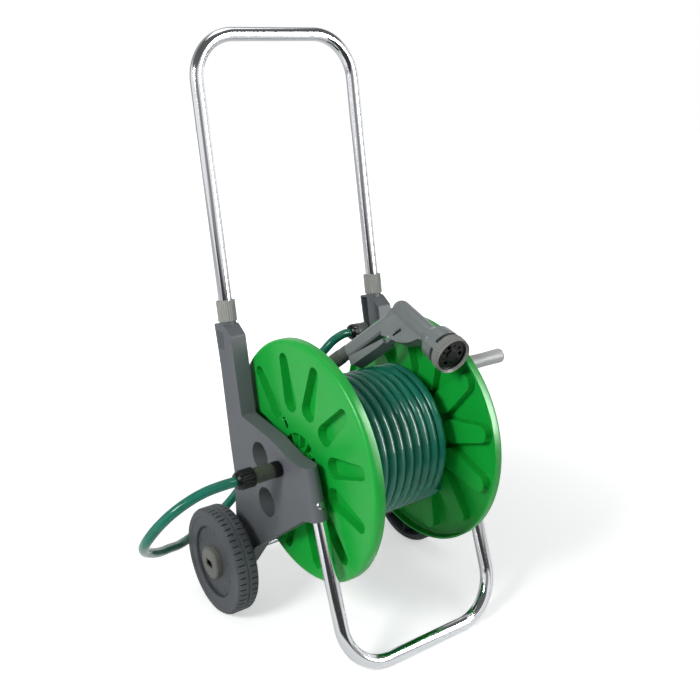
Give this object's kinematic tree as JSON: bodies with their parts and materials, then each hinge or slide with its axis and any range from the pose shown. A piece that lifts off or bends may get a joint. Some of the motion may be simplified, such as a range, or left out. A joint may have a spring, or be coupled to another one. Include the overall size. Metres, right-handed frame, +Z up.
{
  "type": "hose reel cart",
  "caption": "Two-wheeled garden hose reel cart with pull-out handle, front stand, crank reel with wound hose, feed hose and spray gun.",
  "frame": {"origin": "centre of the cart's footprint on the ground, measured without the feed hose and what is on it", "axes": "+X along the reel's axis towards the crank, +Y from the front stand towards the handle, +Z up"},
  "size_m": [0.6368, 0.4552, 0.947],
  "materials": {
    "chrome_tube": "polished",
    "zinc_steel": "satin",
    "frame_grey": "fine texture",
    "wheel_grey": "fine texture",
    "collar_grey": "satin",
    "flange_green": "semi-gloss",
    "hose_green": "gloss",
    "black_plastic": "satin",
    "gun_grey": "satin",
    "dial_grey": "satin",
    "knob_grey": "satin",
    "connector_grey": "satin"
  },
  "bodies": {
    "frame": {"left_panel": "frame_grey", "right_panel": "frame_grey", "collets": "black_plastic", "stand_tube": "chrome_tube", "stand_screws": "zinc_steel", "axle": "zinc_steel", "axle_spacers": "frame_grey", "axle_push_nuts": "zinc_steel", "bearing_bushes": "black_plastic", "thrust_washers": "black_plastic", "inlet_connector": "connector_grey", "inlet_nut": "black_plastic", "feed_hose": "hose_green", "tap_nut": "black_plastic", "tap_connector": "connector_grey", "lead_connector": "connector_grey", "lead_nut": "frame_grey"},
    "handle": {"handle_tube": "chrome_tube"},
    "left_collar": {"left_collar": "collar_grey"},
    "right_collar": {"right_collar": "collar_grey"},
    "left_wheel": {"left_wheel": "wheel_grey", "left_hub_cap": "collar_grey"},
    "right_wheel": {"right_wheel": "wheel_grey", "right_hub_cap": "collar_grey"},
    "reel": {"left_flange": "flange_green", "right_flange": "flange_green", "drum_core": "flange_green", "hose_inner_layers": "hose_green", "wound_hose": "hose_green", "hose_lead": "hose_green", "water_elbow": "connector_grey", "inner_tail": "hose_green", "crank_shaft": "frame_grey", "crank_arm": "frame_grey", "crank_screw": "zinc_steel", "knob_pin": "zinc_steel"},
    "crank_knob": {"crank_knob": "knob_grey"},
    "inlet_release_ring": {"inlet_release_ring": "black_plastic"},
    "gun": {"gun_body": "gun_grey", "gun_bell": "gun_grey", "trigger_pin": "zinc_steel", "gun_plug": "connector_grey", "valve_stem": "zinc_steel"},
    "trigger": {"trigger": "gun_grey"},
    "pattern_dial": {"pattern_ring": "dial_grey", "pattern_face": "black_plastic"},
    "trigger_latch": {"trigger_latch": "black_plastic"}
  },
  "joints": [
    {"name": "handle_slide", "type": "slide", "parent": "frame", "child": "handle", "axis": [0, 0.1693, 0.9856], "range_m": [-0.23, 0]},
    {"name": "left_collar_turn", "type": "hinge", "parent": "frame", "child": "left_collar", "pos_m": [-0.16375, 0.14271, 0.50593], "axis": [0, 0.1693, 0.9856], "range_deg": [0, 90]},
    {"name": "right_collar_turn", "type": "hinge", "parent": "frame", "child": "right_collar", "pos_m": [0.13525, 0.14271, 0.50593], "axis": [0, 0.1693, 0.9856], "range_deg": [0, 90]},
    {"name": "left_wheel_spin", "type": "hinge", "parent": "frame", "child": "left_wheel", "pos_m": [-0.21925, 0.09399, 0.092], "axis": [1, 0, 0], "continuous": true},
    {"name": "right_wheel_spin", "type": "hinge", "parent": "frame", "child": "right_wheel", "pos_m": [0.19075, 0.09399, 0.092], "axis": [1, 0, 0], "continuous": true},
    {"name": "reel_spin", "type": "hinge", "parent": "frame", "child": "reel", "pos_m": [-0.01425, -0.03131, 0.297], "axis": [1, 0, 0], "continuous": true},
    {"name": "crank_knob_spin", "type": "hinge", "parent": "reel", "child": "crank_knob", "pos_m": [0.19775, -0.07469, 0.40824], "axis": [1, 0, 0], "continuous": true},
    {"name": "inlet_release_slide", "type": "slide", "parent": "frame", "child": "inlet_release_ring", "axis": [-1, 0, 0], "range_m": [0, 0.004], "stiffness_N_per_m": 800, "springref_m": -0.002},
    {"name": "gun_pull_off", "type": "slide", "parent": "frame", "child": "gun", "axis": [0.4045, -0.6518, 0.6415], "range_m": [0, 0.12]},
    {"name": "trigger_squeeze", "type": "hinge", "parent": "gun", "child": "trigger", "pos_m": [0.0485, -0.02465, 0.46278], "axis": [0.8758, 0.074, -0.477], "range_deg": [0, 6], "stiffness_Nm_per_rad": 1.2, "springref_deg": -5.73},
    {"name": "pattern_dial_turn", "type": "hinge", "parent": "gun", "child": "pattern_dial", "pos_m": [0.06239, -0.14764, 0.46921], "axis": [-0.072, -0.9571, -0.2807], "continuous": true},
    {"name": "trigger_latch_slide", "type": "slide", "parent": "gun", "child": "trigger_latch", "axis": [-0.4045, 0.6518, -0.6415], "range_m": [0, 0.0065]}
  ]
}
